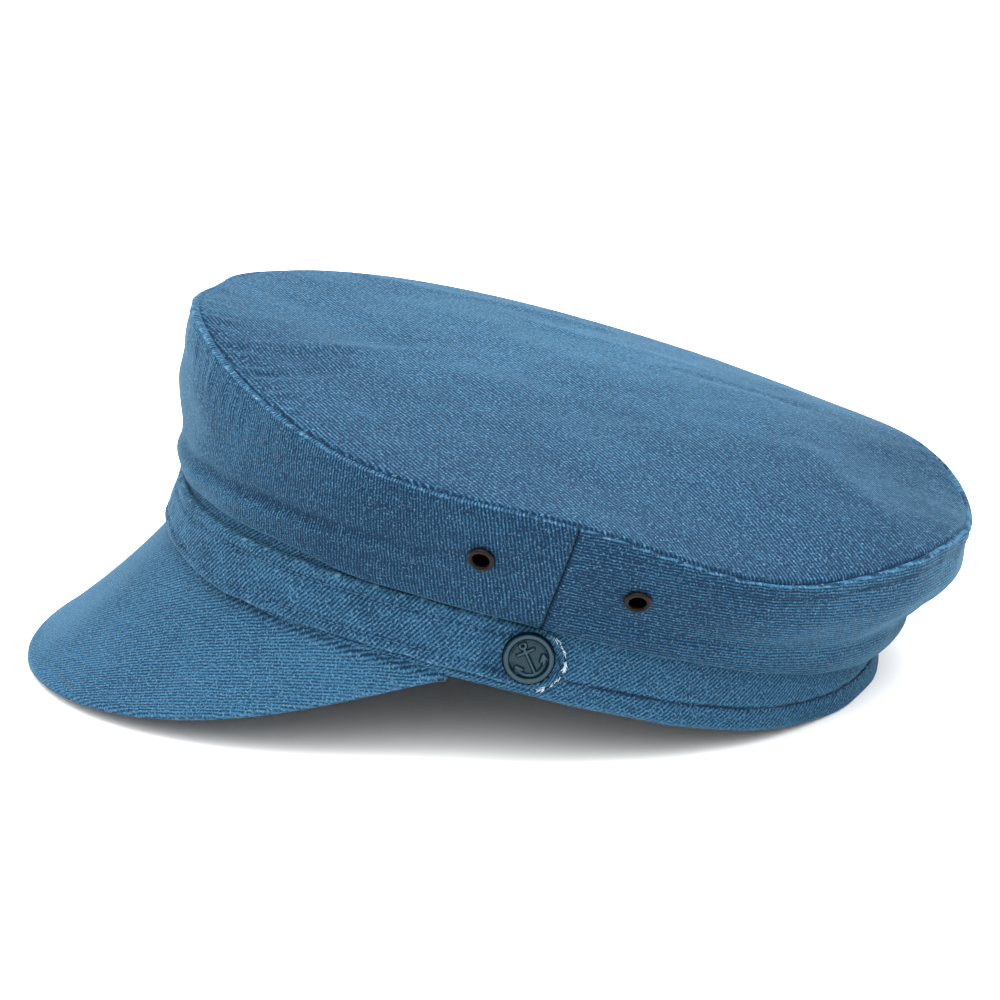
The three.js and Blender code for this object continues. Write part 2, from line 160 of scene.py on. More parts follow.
# Rise of an edge as it goes round the cap: (waves, share of the height)
BAND_EDGE_WAVES = [(2, -0.035), (3, -0.07), (4, 0.076)]
ROOT_WAVES = [(1, 0.131), (2, -0.279), (3, -0.041), (4, 0.027)]
SEAM_WAVES = [(1, 0.102), (2, 0.05), (3, -0.015), (4, 0.052)]

# Where the soft seam rises, sags, spreads or draws in: (angle, half width, rise, spread)
SEAM_PULLS = [
    (12, 14, 0.08, 0.014),
    (35, 16, -0.003, -0.006),
    (60, 16, -0.022, 0.013),
    (88, 12, 0.025, -0.002),
    (118, 15, -0.077, 0.006),
    (155, 16, 0.023, -0.005),
    (180, 20, -0.135, -0.014),
    (-155, 18, 0.073, -0.02),
    (-125, 22, 0.006, 0.01),
    (-90, 30, -0.103, -0.012),
    (-45, 25, 0.038, 0.013),
    (-15, 16, 0.008, -0.016),
]

# The wall's section: (share of the way up, share of the bulge)
WALL_SECTION = [(0, 0), (0.1, 0.5), (0.3, 0.55), (0.5, 0.85), (0.75, 1), (0.92, 0.8), (1, 0)]

# Folds of the wall: (angle, half width, up, half height, lean, depth as a share of the fold)
WALL_FOLDS = [
    (6, 36, 0.32, 0.13, 0.0105, -0.4),
    (-4, 26, 0.55, 0.1, 0.006, 0.3),
    (180, 60, 0.31, 0.08, 0, -0.6),
    (182, 54, 0.7, 0.22, 0, 1.4),
    (138, 18, 0.3, 0.09, 0.006, -0.4),
    (-138, 20, 0.34, 0.1, -0.005, -0.4),
]

# Small creases of the wall, in the same columns
WALL_CREASES = [
    (16, 7, 0.86, 0.07, 0.012, -0.13),
    (27, 9, 0.8, 0.08, 0.008, -0.1),
    (33, 20, 0.2, 0.05, -0.003, -0.1),
    (52, 16, 0.13, 0.05, -0.002, -0.1),
    (150, 22, 0.47, 0.06, 0.003, -0.14),
    (118, 16, 0.36, 0.07, 0.006, -0.07),
    (166, 14, 0.84, 0.05, 0.002, -0.13),
    (-20, 12, 0.8, 0.07, -0.01, -0.12),
    (-60, 18, 0.25, 0.07, 0.006, -0.12),
    (-112, 18, 0.4, 0.08, -0.006, -0.12),
    (-160, 22, 0.5, 0.06, -0.003, -0.14),
]

# Sharper wrinkles of the worn cloth, in the same columns but with the depth in millimetres
WALL_WRINKLES = [
    (38, 30, 0.37, 0.06, 0.0048, -1.5),
    (38, 30, 0.24, 0.07, 0.0048, 0.8),
    (58, 16, 0.3, 0.05, 0.004, -0.35),
    (27, 8, 0.66, 0.06, 0.012, -0.3),
    (44, 12, 0.62, 0.05, 0.01, -0.22),
    (134, 18, 0.28, 0.09, 0.005, 0.9),
    (150, 14, 0.62, 0.06, 0.004, -0.3),
    (168, 10, 0.5, 0.05, 0.004, -0.3),
    (-34, 26, 0.34, 0.06, -0.004, -0.5),
    (-70, 18, 0.55, 0.06, 0.005, -0.35),
    (-130, 20, 0.3, 0.06, -0.004, -0.4),
]

# Creases of the crown's top: (start, end, half breadth, height), in millimetres to the left and rear
TOP_WRINKLES = [
    ((30, -92), (-6, -40), 3.2, 0.5),
    ((44, -84), (22, -58), 2.4, -0.35),
    ((-72, -60), (-80, 10), 3.5, 0.6),
    ((-60, -10), (-52, 40), 4, 0.4),
    ((-40, 30), (-34, 66), 2.6, -0.45),
    ((10, 66), (40, 88), 5, 0.4),
]

# Hollows and swells of the top, in shares of it: (along, across, half length, half breadth, height)
TOP_FOLDS = [
    (-0.62, 0, 0.25, 0.6, -1),
    (0.5, 0, 0.3, 0.6, 1.05),
    (-0.35, 0.12, 0.5, 0.07, 0.14),
]

# Which way the twill runs on each piece, in degrees from the line that goes round the cap
RIB_TOP = 36
RIB_WALL_FRONT = 97
RIB_WALL_REAR = 3
RIB_BAND = 44
RIB_STRAP = 57
RIB_PEAK = 129

# How much darker these pieces are coloured than the top, as painted shade for the shade they get, on the
# scale of the wear; below 0 a piece is painted lighter
WALL_PAINTED_SHADE = 0.5
BAND_PAINTED_SHADE = -0.08
STRAP_PAINTED_SHADE = 0.02

# How fine the yarns of these pieces show beside the front wall's, and how many ribs that one has
TOP_YARN = 0.85
BAND_YARN = 1.08
PEAK_YARN = 1.16
RIBS_PER_MM = 0.98

# How the front wall's ribs tip as they go round: (angle from the front, lean)
WALL_LEAN = [(0, -0.2), (22, -0.18), (45, 0.0), (58, 0.1), (72, 0.24), (90, 0.26)]

# Fineness of the meshes
ROUND_STEPS = 900
BESIDE_SLIT = [0, 0.07, 0.14, 0.22, 0.32, 0.45, 0.6, 0.78]
SLIT_REACH = 0.95
BAND_STEPS = 1500
BAND_ROWS = 41
STRAP_STEPS = 760
STRAP_ROWS = 41
PEAK_STEPS = 300
PEAK_ROWS = 81

# Light: how bright the sky is at its edge and overhead
HORIZON_GLOW = 0.3
ZENITH_GLOW = 5.2

# Camera: its rise in degrees, distance in metres, target in millimetres, aim off that, and lens
CAMERA_RISE = 18
CAMERA_DISTANCE = 1.24633
CAMERA_TARGET = (-0.473, 9.605, 80.074)
CAMERA_ASIDE = 0.00628
CAMERA_ABOVE = 0.02551
SENSOR_WIDTH = 36
LENS_TO_SENSOR = 4.4799

# Helpers for angles and shapes


def cos(angle):
    return np.cos(np.radians(angle))


def sin(angle):
    return np.sin(np.radians(angle))


def lerp(low, high, share):
    return low + (high - low) * share


def ease(low, high, value):
    share = np.clip((value - low) / (high - low), 0, 1)
    return share * share * (3 - 2 * share)


def bell(distance, width):
    return np.exp(-((distance / width) ** 2))


def turn_from(angle, place):
    return (angle - place + 180) % 360 - 180


def point(x, y, z):
    return np.stack(np.broadcast_arrays(x, y, z), -1).astype(float)


def column(value):
    return np.asarray(value, float)[..., None]


def smooth_table(value, table):
    """A smooth curve through the rows (place, amount) of a table."""
    places, amounts = (np.array(part, float) for part in zip(*table))
    slopes = np.gradient(amounts, places)
    low = np.clip(np.searchsorted(places, value, side="right") - 1, 0, len(places) - 2)
    width = places[low + 1] - places[low]
    share = (value - places[low]) / width
    return (
        amounts[low] * (1 + 2 * share) * (1 - share) ** 2
        + slopes[low] * width * share * (1 - share) ** 2
        + amounts[low + 1] * share**2 * (3 - 2 * share)
        + slopes[low + 1] * width * share**2 * (share - 1)
    )


def ripple(along, across, length, seed, parts=9):
    """Smooth unevenness from -1 to 1 or so, with swells about as long as length."""
    random = np.random.default_rng(seed)
    total = 0
    for _ in range(parts):
        heading = random.uniform(0, math.tau)
        pitch = length * random.uniform(0.7, 1.5)
        way = (along * math.cos(heading) + across * math.sin(heading)) / pitch
        total = total + np.sin(math.tau * way + random.uniform(0, math.tau))
    return total / math.sqrt(parts)


def crowding(rows, amount):
    """How far rows from 0 to 1 move towards their ends, to lie closer together there."""
    return amount * np.sin(math.tau * rows) / math.tau * 4


def bar_distance(x, y, start, end):
    """Distance from the straight line between two places."""
    along = np.array(end, float) - np.array(start, float)
    share = np.clip(((x - start[0]) * along[0] + (y - start[1]) * along[1]) / (along @ along), 0, 1)
    return np.hypot(x - start[0] - share * along[0], y - start[1] - share * along[1])


# Ovals and edges of the cap


def oval(angle, front, rear, side, squareness=2):
    power = 2 / squareness
    across, ahead = sin(angle), cos(angle)
    length = np.where(ahead > 0, front, rear)
    x = side * np.sign(across) * np.abs(across) ** power
    y = -length * np.sign(ahead) * np.abs(ahead) ** power
    return point(x, y, 0)


def waves_at(angle, waves):
    return sum(rise * cos(count * angle) for count, rise in waves)


def outward(angle):
    length = np.where(cos(angle) > 0, BAND_FRONT, BAND_REAR)
    way = point(sin(angle) / BAND_SIDE, -cos(angle) / length, 0)
    return way / np.linalg.norm(way, axis=-1, keepdims=True)


def band_bottom(angle):
    edge = oval(angle, BAND_FRONT, BAND_REAR, BAND_SIDE)
    edge[..., 2] = BAND_HEIGHT * waves_at(angle, BAND_EDGE_WAVES)
    return edge


def band_top(angle):
    edge = oval(angle, ROOT_FRONT, ROOT_REAR, ROOT_SIDE)
    edge[..., 2] = BAND_HEIGHT * (1 + waves_at(angle, ROOT_WAVES))
    return edge


def seam_pull(angle, place):
    return sum(row[place] * bell(turn_from(angle, row[0]), row[1]) for row in SEAM_PULLS)


def seam(angle):
    edge = oval(angle, SEAM_FRONT, SEAM_REAR, SEAM_SIDE, SEAM_SQUARENESS)
    edge = edge * column(1 + seam_pull(angle, 3))
    edge[..., 1] += SEAM_SHIFT
    rise = 1 + waves_at(angle, SEAM_WAVES) + seam_pull(angle, 2)
    edge[..., 2] = BAND_HEIGHT + WALL_HEIGHT * rise
    return edge


def top_point(angle, share):
    """The crown's top, a share of the way out from its middle to the seam."""
    edge = seam(angle)
    level_edge = BAND_HEIGHT + WALL_HEIGHT * (1 + waves_at(angle, SEAM_WAVES))
    x = edge[..., 0] * share
    y = SEAM_SHIFT + (edge[..., 1] - SEAM_SHIFT) * share
    dome = TOP_DOME * np.maximum(1 - share**2, 0) ** TOP_DOME_SHAPE
    folds = sum(
        high * bell(y / SEAM_REAR - along, long) * bell(x / SEAM_SIDE - across, broad)
        for along, across, long, broad, high in TOP_FOLDS
    )
    waves = sum(rise * share**count * cos(count * angle) for count, rise in SEAM_WAVES)
    level = BAND_HEIGHT + WALL_HEIGHT * (1 + waves)
    z = level + (edge[..., 2] - level_edge) * share**3 + dome + TOP_FOLD * folds * (1 - share**4)
    return point(x, y, z)


def seam_reach(angle):
    edge = seam(angle)
    return np.hypot(edge[..., 0], edge[..., 1] - SEAM_SHIFT)


def share_inside(angle, inset):
    return 1 - inset / seam_reach(angle)


def fold_out(angle, up, folds):
    return sum(
        deep * bell(turn_from(angle, at), wide) * bell(up - level - lean * turn_from(angle, at), tall)
        for at, wide, level, tall, lean, deep in folds
    )


def wall_outer(angle, up):
    """The wall's outer face as the solids have it, from its root to just under the top."""
    root = band_top(angle) + UP * GAP
    head = top_point(angle, share_inside(angle, SEAM_RIDGE)) - UP * (TOP_CLOTH + GAP)
    ends = 4 * up * (1 - up)
    folds = fold_out(angle, up, WALL_FOLDS) + fold_out(angle, up, WALL_CREASES)
    out = WALL_ROLL * (1 - up) + WALL_BULGE * smooth_table(up, WALL_SECTION) + WALL_FOLD * folds * ends
    return lerp(root, head, column(up)) + outward(angle) * column(out)


def band_face(angle, height, out):
    low, high = band_bottom(angle), band_top(angle)
    share = (height - low[..., 2]) / (high[..., 2] - low[..., 2])
    return lerp(low, high, column(share)) + outward(angle) * column(out)


def arc_table(edge):
    angles = np.linspace(-180, 360, 5401)
    points = edge(angles)
    steps = np.linalg.norm(np.diff(points, axis=0), axis=1)
    return angles, np.concatenate([[0], np.cumsum(steps)])


SEAM_ARC = arc_table(seam)
BAND_ARC = arc_table(band_top)


def along_edge(angle, arc):
    return np.interp(angle, *arc)


def columns_between(first, last):
    """The crown's columns from one angle to another, closer together beside the side seams."""
    even = np.arange(-ROUND_STEPS // 2, 2 * ROUND_STEPS) * 360 / ROUND_STEPS
    slits = np.array([-WALL_SLIT_ANGLE, WALL_SLIT_ANGLE, 360 - WALL_SLIT_ANGLE])
    apart = np.abs(even[:, None] - slits).min(1)
    beside = (slits[:, None] + np.append(BESIDE_SLIT, -np.array(BESIDE_SLIT[1:]))).ravel()
    angles = np.sort(np.append(even[apart > SLIT_REACH], beside))
    return angles[(angles > first - 0.001) & (angles < last + 0.001)][:, None]


# Meshes


def to_rest(points):
    """Level points in millimetres, tipped and moved to where they rest, in metres."""
    x, y, z = points[..., 0], points[..., 1], points[..., 2]
    tipped = point(x, y * cos(TIP) + z * sin(TIP), z * cos(TIP) - y * sin(TIP))
    return (tipped + MOVE) / 1000


def on_floor(points):
    """Cloth that would reach below the floor is flattened on it."""
    points = points.copy()
    points[..., 2] = np.maximum(points[..., 2], 0)
    return points


def new_object(name, data):
    made = bpy.data.objects.new(name, data)
    bpy.context.scene.collection.objects.link(made)
    return made


def make_piece(name, corners, faces, paint, cloth=None, wear_and_painted_shading=None):
    mesh = bpy.data.meshes.new(name)
    mesh.from_pydata(corners.reshape(-1, 3).tolist(), [], faces)
    mesh.polygons.foreach_set("use_smooth", [True] * len(mesh.polygons))
    if cloth is not None:
        indices = np.zeros(len(mesh.loops), np.int32)
        mesh.loops.foreach_get("vertex_index", indices)
        layer = mesh.uv_layers.new(name="cloth")
        layer.uv.foreach_set("vector", (cloth.reshape(-1, 2)[indices] / 1000).ravel().astype(np.float32))
    if wear_and_painted_shading is not None:
        mesh.attributes.new("wear_and_painted_shading", "FLOAT", "POINT")
        mesh.attributes["wear_and_painted_shading"].data.foreach_set("value", wear_and_painted_shading.ravel().astype(np.float32))
    mesh.materials.append(paint)
    mesh.validate()
    return new_object(name, mesh)


def grid_faces(at, flip=False):
    """Quads over a grid of corner numbers."""
    quads = np.stack([at[:-1, :-1], at[1:, :-1], at[1:, 1:], at[:-1, 1:]], -1).reshape(-1, 4)
    return quads[:, ::-1] if flip else quads


# The four sides of a quad that is cut out: (the quad beside it, first corner, last corner)
HOLE_EDGES = [
    ((-1, 0), (0, 1), (0, 0)),
    ((1, 0), (1, 0), (1, 1)),
    ((0, -1), (0, 0), (1, 0)),
    ((0, 1), (1, 1), (0, 1)),
]


def shell_faces(outer, inner, closed, capped, cut):
    """Faces of a closed shell: its outer grid of corner numbers, its inner one, and its edges.

    closed joins its last column to its first, capped closes its last row, cut marks the holes."""
    if closed:
        outer, inner = np.vstack([outer, outer[:1]]), np.vstack([inner, inner[:1]])
    edges = [(outer[:-1, 0], inner[:-1, 0], inner[1:, 0], outer[1:, 0])]
    if not capped:
        edges.append((outer[:-1, -1], outer[1:, -1], inner[1:, -1], inner[:-1, -1]))
    if not closed:
        # Each end has one face with many corners for every row of the inner grid
        ratio = (outer.shape[1] - 1) // (inner.shape[1] - 1)
        for end, flip in ((0, False), (-1, True)):
            for low in range(inner.shape[1] - 1):
                high = low + 1
                ring = [*outer[end, low * ratio:high * ratio + 1], inner[end, high], inner[end, low]]
                edges.append(([number] for number in (ring[::-1] if flip else ring)))
    sides = [np.stack([np.asarray(part) for part in edge], -1).tolist() for edge in edges]
    kept = slice(None) if cut is None else ~cut.ravel()
    faces = [grid_faces(outer)[kept].tolist(), grid_faces(inner, True)[kept].tolist(), *sides]
    if capped:
        faces.append([outer[:-1, -1].tolist(), inner[:-1, -1][::-1].tolist()])
    for place in np.argwhere(cut) if cut is not None else []:
        for beside, start, end in HOLE_EDGES:
            if not cut[tuple(place + beside)]:
                first, last = tuple(place + start), tuple(place + end)
                faces.append([[int(n) for n in (outer[first], outer[last], inner[last], inner[first])]])
    return faces


def shell(name, outer, inner, cloth, wear_and_painted_shading, thin=1, closed=False, capped=False, cut=None, lined=True):
    """A closed shell of denim. Its wrong side has only every row that thin leaves."""
    steps, rows = outer.shape[:2]
    outer, inner = on_floor(to_rest(outer)), on_floor(to_rest(inner[:, ::thin]))
    outer_numbers = np.arange(steps * rows).reshape(steps, rows)
    inner_numbers = steps * rows + np.arange(inner[..., 0].size).reshape(steps, -1)
    faces = shell_faces(outer_numbers, inner_numbers, closed, capped, cut)
    cloth = np.broadcast_to(cloth, (steps, rows, 2))
    wear_and_painted_shading = np.broadcast_to(wear_and_painted_shading, (steps, rows))
    piece = make_piece(name, np.concatenate([part.reshape(-1, 3) for part in (outer, inner)]),
                       [face for part in faces for face in part], denim,
                       np.concatenate([part.reshape(-1, 2) for part in (cloth, cloth[:, ::thin])]),
                       np.concatenate([wear_and_painted_shading.ravel(), np.zeros(inner[..., 0].size)]))
    if lined:
        piece.data.materials.append(denim_inside)
        paints = np.zeros(len(piece.data.polygons), np.int32)
        paints[len(faces[0]):len(faces[0]) + len(faces[1])] = 1
        piece.data.polygons.foreach_set("material_index", paints)
    return piece


def turned_cloth(along, across, rib, shift, lean=0):
    """Cloth coordinates whose first number runs along the twill's ribs. lean tips them further."""
    along, across = np.broadcast_arrays(along, across)
    return np.stack([along * cos(rib) + across * sin(rib) + shift,
                     across * (cos(rib) - lean) - along * sin(rib) + shift / 3], -1)


def dress(piece, nodes):
    """The piece rides on the cap and stands for the solids of these nodes."""
    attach(piece, "root")
    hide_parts(*nodes)
    return piece


def frame_on(surface, angle, up):
    """Axes along, up and out of a surface at a place, and the place itself."""
    centre = surface(angle, up)
    along = surface(angle + 1, up) - surface(angle - 1, up)
    rise = surface(angle, up + 0.01) - surface(angle, up - 0.01)
    along = along / np.linalg.norm(along)
    out = np.cross(along, rise)
    out = out / np.linalg.norm(out)
    return along, np.cross(out, along), out, centre


def turned(profile, turns):
    """A profile of (radius, height) turned round an axis: its corners by turn and by row."""
    return np.stack([point(reach * cos(turns), reach * sin(turns), height) for reach, height in profile], 1)


def placed(points, axes):
    along, across, out, centre = axes
    return centre + points[..., :1] * along + points[..., 1:2] * across + points[..., 2:] * out


# Materials: a wire carries a value or colour between nodes, so that shader maths reads as Python


class Wire:
    def __init__(self, paint, socket):
        self.paint = paint
        self.socket = socket

    def maths(self, operation, first, second):
        return self.paint.node("Math", {"operation": operation}, {0: first, 1: second})

    def __add__(self, other):
        return self.maths("ADD", self, other)

    def __radd__(self, other):
        return self.maths("ADD", other, self)

    def __mul__(self, other):
        return self.maths("MULTIPLY", self, other)

    def __rmul__(self, other):
        return self.maths("MULTIPLY", other, self)


class Paint:
    def __init__(self, name, **constants):
        self.material = bpy.data.materials.new(name)
        self.material.use_nodes = True
        self.tree = self.material.node_tree
        self.shader = self.tree.nodes["Principled BSDF"]
        for socket, value in constants.items():
            self.shader.inputs[socket.replace("_", " ")].default_value = value

    def node(self, kind, settings=None, sockets=None, output=0):
        """A node of any kind, with its settings and with values or wires for its sockets."""
        made = self.tree.nodes.new("ShaderNode" + kind)
        for key, value in (settings or {}).items():
            setattr(made, key, value)
        for key, value in (sockets or {}).items():
            if isinstance(value, Wire):
                self.tree.links.new(value.socket, made.inputs[key])
            else:
                made.inputs[key].default_value = value
        return Wire(self, made.outputs[output])

    def wave(self, turns):
        """A cosine from 0 to 1 that comes round once a turn."""
        return 0.5 + 0.5 * self.node("Math", {"operation": "COSINE"}, {0: turns * math.tau})

    def step(self, value, low, high):
        return self.node("MapRange", {"interpolation_type": "SMOOTHSTEP"},
                         {"Value": value, "From Min": low, "From Max": high})

    def noise(self, x, y, scale, detail=2.0, roughness=0.5):
        place = self.node("CombineXYZ", None, {0: x, 1: y})
        return self.node("TexNoise", {"noise_dimensions": "2D"},
                         {"Vector": place, "Scale": scale, "Detail": detail, "Roughness": roughness})

    def blend(self, share, low, high):
        return self.node("Mix", {"data_type": "RGBA"}, {0: share, 6: low, 7: high}, 2)

    def cloth(self):
        """Millimetres along and across the twill's ribs."""
        place = self.node("UVMap", {"uv_map": "cloth"})
        along = self.node("SeparateXYZ", None, {0: place}, 0)
        across = self.node("SeparateXYZ", None, {0: place}, 1)
        return along * 1000, across * 1000

    def wear_and_shading_attribute(self):
        return self.node("Attribute", {"attribute_name": "wear_and_painted_shading"}, None, 2)

    def relief(self, height, strength, depth):
        return self.node("Bump", None, {"Height": height, "Strength": strength, "Distance": depth})

    def feed(self, **links):
        """Lead wires into the shader's sockets, named with an underscore for each space."""
        for socket, wire in links.items():
            self.tree.links.new(wire.socket, self.shader.inputs[socket.replace("_", " ")])
        return self.material


def rgb(red, green, blue):
    return (red, green, blue, 1.0)


def denim_paint():
    """Blue twill: slanting ribs of dyed warp, with the pale weft showing as specks between them."""
    paint = Paint("denim", Roughness=0.9, Sheen_Weight=0.2, Sheen_Roughness=0.3,
                  Sheen_Tint=rgb(0.3, 0.7, 1.0), Specular_IOR_Level=0.1)
    along, across = paint.cloth()
    wear_and_painted_shading = paint.wear_and_shading_attribute()
    wander = paint.noise(along, across, 0.11) * 0.8 + paint.noise(along, across, 0.5) * 0.28
    rib_turns = across * RIBS_PER_MM + wander
    rib = paint.wave(rib_turns)
    broken = paint.noise(along * 0.4, across, 0.9, 1.0)
    bead = paint.wave(along * 1.05 + rib_turns * 0.5 + paint.noise(along, across, 0.6) * 1.2)
    grain = paint.noise(along, across, 1.5, 2.0, 0.65)
    fuzz = paint.noise(along, across, 0.6, 3.0, 0.7)
    slub = paint.noise(along * 0.12, across * 1.2, 1.0, 2.0, 0.6)
    mottle = paint.noise(along, across, 0.16, 3.0, 0.65)
    cloud = paint.noise(along, across, 0.03, 2.0, 0.5)
    yarn = rib * (0.28 + broken * 0.7) + bead * 0.12 + grain * 1.2 + fuzz * 0.35 + slub * 0.15
    # The per-corner attribute adds rubbed paleness, darker dye, and painted light and shade to the yarn's
    # tone
    yarn = yarn + mottle * 0.2 + cloud * 0.25 + wear_and_painted_shading * 0.5
    tone = paint.step(yarn, 1.0, 2.06)
    blue = paint.blend(tone, rgb(0.0018, 0.012, 0.031), rgb(0.0222, 0.083, 0.15))
    fleck = paint.step(paint.noise(along, across, 1.5, 1.0) + wear_and_painted_shading * 0.1, 0.62, 0.72)
    nep = paint.step(paint.noise(along, across * 1.4, 1.3, 0.0), 0.8, 0.86)
    pale = paint.blend(fleck * 0.55, blue, rgb(0.062, 0.14, 0.2))
    pale = paint.blend(nep * 0.5, pale, rgb(0.125, 0.19, 0.24))
    rubbed = paint.step(wear_and_painted_shading * (0.1 + grain * 1.5), 0.35, 0.85)
    colour = paint.blend(rubbed * 0.65, pale, rgb(0.105, 0.185, 0.245))
    height = rib * (broken * 1.1) + bead * 0.2 + grain * 0.6
    return paint.feed(Base_Color=colour, Normal=paint.relief(height, 0.38, 0.00035))


def thread_paint(name, colour, pale):
    """Twisted sewing thread, whose turns show as fine slanting lines."""
    paint = Paint(name, Roughness=0.8, Specular_IOR_Level=0.15)
    along, across = paint.cloth()
    twist = paint.wave(along * 2.2 + across * 1.6)
    fuzz = paint.noise(along, across, 3.0)
    colour = paint.blend(twist * 0.5 + fuzz * 0.4, colour, pale)
    return paint.feed(Base_Color=colour, Normal=paint.relief(twist, 0.4, 0.00008))


def lacquer_paint():
    """Dark teal lacquer over the stamped metal, thin, duller and paler on its high places, where the
    paleness is partly rubbed lacquer and partly a painted highlight.
    """
    paint = Paint("button_lacquer", IOR=1.2, Coat_Weight=0.2, Coat_Roughness=0.04)
    along, across = paint.cloth()
    speckle = paint.noise(along, across, 3.2, 3.0, 0.6)
    cloud = paint.noise(along, across, 0.5, 2.0)
    wear_and_painted_shading = paint.wear_and_shading_attribute()
    colour = paint.blend(cloud * 0.8 + speckle * 0.3, rgb(0.0015, 0.009, 0.015), rgb(0.004, 0.019, 0.029))
    colour = paint.blend(wear_and_painted_shading * (0.2 + speckle * 0.5), colour, rgb(0.034, 0.07, 0.088))
    rough = 0.14 + speckle * 0.12 + cloud * 0.08
    return paint.feed(Base_Color=colour, Roughness=rough, Metallic=0.6 + wear_and_painted_shading * 0.2,
                      Normal=paint.relief(speckle, 0.12, 0.00006))


def gunmetal_paint():
    """Blackened metal, with brown showing through where it is rubbed."""
    paint = Paint("eyelet_gunmetal", IOR=1.25)
    along, across = paint.cloth()
    speckle = paint.noise(along, across, 2.5, 3.0, 0.6)
    wear_and_painted_shading = paint.wear_and_shading_attribute()
    colour = paint.blend(wear_and_painted_shading * 0.4 + speckle * 0.3, rgb(0.003, 0.003, 0.0035), rgb(0.02, 0.014, 0.011))
    return paint.feed(Base_Color=colour, Roughness=0.2 + speckle * 0.16,
                      Metallic=0.7 + speckle * 0.1, Normal=paint.relief(speckle, 0.1, 0.00005))


def inside_paint():
    """The wrong side of the cloth, paler because the weft shows more on it."""
    paint = Paint("denim_inside", Roughness=0.92)
    along, across = paint.cloth()
    rib = paint.wave(across * RIBS_PER_MM + paint.noise(along, across, 0.11) * 0.75)
    grain = paint.noise(along, across, 2.6, 3.0, 0.7)
    colour = paint.blend(rib * 0.4 + grain * 0.5, rgb(0.03, 0.055, 0.08), rgb(0.09, 0.12, 0.15))
    return paint.feed(Base_Color=colour, Normal=paint.relief(rib + grain, 0.4, 0.0002))


denim = denim_paint()
denim_inside = inside_paint()
navy_thread = thread_paint("navy_thread", rgb(0.002, 0.008, 0.024), rgb(0.006, 0.02, 0.05))
blue_thread = thread_paint("blue_thread", rgb(0.012, 0.045, 0.09), rgb(0.035, 0.1, 0.17))
frayed_cotton = thread_paint("frayed_cotton", rgb(0.34, 0.42, 0.48), rgb(0.6, 0.66, 0.7))
lacquer = lacquer_paint()
gunmetal = gunmetal_paint()


# Crown top


def crown_top():
    angles = columns_between(0, 359.99)
    near_edge = np.concatenate([[0.0], np.geomspace(0.12, 6, 22), np.linspace(7.2, 88, 42)])[None, :]
    # The rows are drawn for a middle this far from the edge, and then fitted to each column
    to_middle = 89
    near_edge = near_edge * (seam_reach(angles) - SEAM_SETBACK) / to_middle
    share = share_inside(angles, near_edge + SEAM_SETBACK)
    outer = top_point(angles, share)
    x, y = outer[..., 0], outer[..., 1]
    arc = along_edge(angles, SEAM_ARC)
    pucker = ripple(arc, near_edge * 0.1, 9, 11) * bell(near_edge, 9) * ease(0.5, 4, near_edge)
    gather = ripple(arc, near_edge * 0.2, 5, 14) * bell(near_edge - 5, 6) * bell(turn_from(angles, 26), 14)
    lift = 0.12 * pucker + 0.25 * gather
    lift = lift + 0.38 * ripple(x, y, 52, 12) * ease(2, 25, near_edge)
    lift = lift + 0.12 * ripple(x, y * 0.6, 19, 13) * ease(2, 18, near_edge)
    for start, end, breadth, height in TOP_WRINKLES:
        lift = lift + height * bell(bar_distance(x, y, start, end), breadth) * ease(0, 4, near_edge)
    outer[..., 2] += lift - SEAM_GROOVE * bell(near_edge, 0.45)
    inner = outer - UP * (TOP_CLOTH - 0.2)
    cloth = turned_cloth(x, y, RIB_TOP, 400) * TOP_YARN
    # The middle of the top paler, partly sun fade and partly painted light; painted shade darkens it
    # towards the rear
    sun_fade_and_painted_light = bell(np.hypot(x + 45, y + 15), 78)
    wear_and_painted_shading = 0.36 * sun_fade_and_painted_light - 0.43 - 0.22 * ease(45, 105, y)
    # Slightly paler just inside the seam; painted shade darkens the edge in the seam groove
    wear_and_painted_shading = wear_and_painted_shading + 0.1 * bell(near_edge - 1.2, 0.5) - 0.45 * bell(near_edge, 0.3)
    piece = shell("twill_crown_top", outer, inner, cloth, wear_and_painted_shading, 8, True, True)
    return dress(piece, ["crown_top"])


# Crown wall


def front_lift(angle):
    """How far the wall's lower edge stands above the strap across the front."""
    return WALL_FRONT_LIFT * (1 - ease(42, 64, np.abs(turn_from(angle, 0))))


